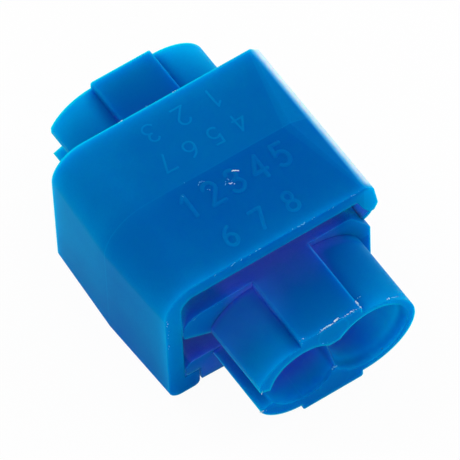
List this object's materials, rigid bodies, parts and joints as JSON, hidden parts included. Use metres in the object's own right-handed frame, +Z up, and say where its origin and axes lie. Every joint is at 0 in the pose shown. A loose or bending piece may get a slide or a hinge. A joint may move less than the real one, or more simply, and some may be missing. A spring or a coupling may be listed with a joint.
{
  "type": "t-tap connector",
  "caption": "Insulation-displacement tap splice: a slotted metal contact in a blue plastic housing joins a tap wire to a run wire under a hinged latching cover.",
  "frame": {"origin": "middle of the footprint, at the level of the latch hook's underside, with the cover closed", "axes": "+Y along both wires, away from the end where the tap wire goes in; +X from the open mouth of the run channel to the hinge of the cover; +Z up through the cover's top"},
  "size_m": [0.018, 0.026, 0.0127],
  "materials": {
    "blue_polypropylene": "moulded polypropylene, slightly translucent, soft gloss",
    "tinned_brass": "bright tin plating over brass sheet"
  },
  "bodies": {
    "housing": {"housing": "blue_polypropylene", "living_hinge": "blue_polypropylene"},
    "cover": {"cover": "blue_polypropylene", "cover_latch": "blue_polypropylene"},
    "contact": {"contact": "tinned_brass"}
  },
  "joints": [
    {"name": "cover_hinge", "type": "hinge", "parent": "housing", "child": "cover", "pos_m": [0.00867, 0, 0.00791], "axis": [0, 1, 0], "range_deg": [0, 170], "deforming": ["living_hinge", "cover_latch"]},
    {"name": "contact_slide", "type": "slide", "parent": "housing", "child": "contact", "axis": [0, 0, 1], "range_m": [0, 0.0019]}
  ]
}
